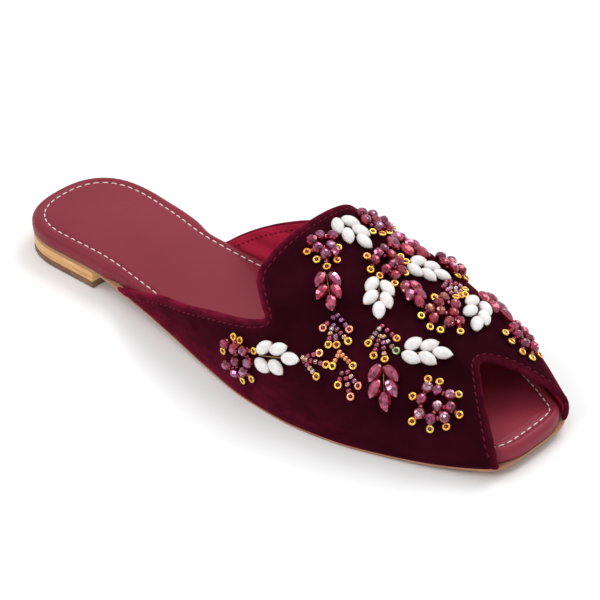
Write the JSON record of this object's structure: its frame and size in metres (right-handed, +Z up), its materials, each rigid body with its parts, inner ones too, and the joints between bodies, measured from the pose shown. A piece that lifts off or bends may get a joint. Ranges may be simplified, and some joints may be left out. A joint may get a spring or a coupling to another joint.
{
  "type": "flat peep-toe mule",
  "caption": "Flat backless peep-toe mule for the right foot, with a velvet vamp sewn with bead flowers and sprigs, a padded footbed and a low stacked heel.",
  "frame": {"origin": "under the middle of the whole shoe's box, on the floor", "axes": "+X along the shoe from heel to toe, +Y towards the wearer's left (the inner side of this right shoe), +Z up"},
  "size_m": [0.2488, 0.0932, 0.0597],
  "materials": {
    "outsole": "smooth tan sole leather, matt at the edges",
    "heel_block": "stacked heel with an orange-brown grain, satin varnish",
    "heel_lift": "matt brown rubber",
    "footbed": "burgundy faux leather with a fine grain and a soft sheen",
    "upper": "deep burgundy velvet, dark face on and bright at grazing angles",
    "white_beads": "pearly white glass leaf beads, glossy",
    "red_beads": "faceted crimson glass leaf beads, glossy",
    "crystals": "faceted glass crystals with a lilac and crimson iridescent coat",
    "ring_beads": "small glass seeds and rings in gold, silver, pink and red"
  },
  "bodies": {
    "root": {"outsole": "outsole", "heel_block": "heel_block", "heel_lift": "heel_lift", "footbed": "footbed", "upper": "upper", "white_sprig_1": "white_beads", "white_sprig_2": "white_beads", "white_sprig_3": "white_beads", "white_sprig_4": "white_beads", "white_sprig_5": "white_beads", "white_sprig_6": "white_beads", "red_sprig_1": "red_beads", "red_sprig_2": "red_beads", "red_sprig_3": "red_beads", "red_sprig_4": "red_beads", "red_sprig_5": "red_beads", "flower_1": "crystals", "flower_2": "crystals", "flower_3": "crystals", "flower_4": "crystals", "flower_5": "crystals", "flower_6": "crystals", "flower_7": "crystals", "star": "crystals", "seed_spray_1": "ring_beads", "seed_spray_2": "ring_beads", "seed_spray_3": "ring_beads"}
  },
  "joints": []
}
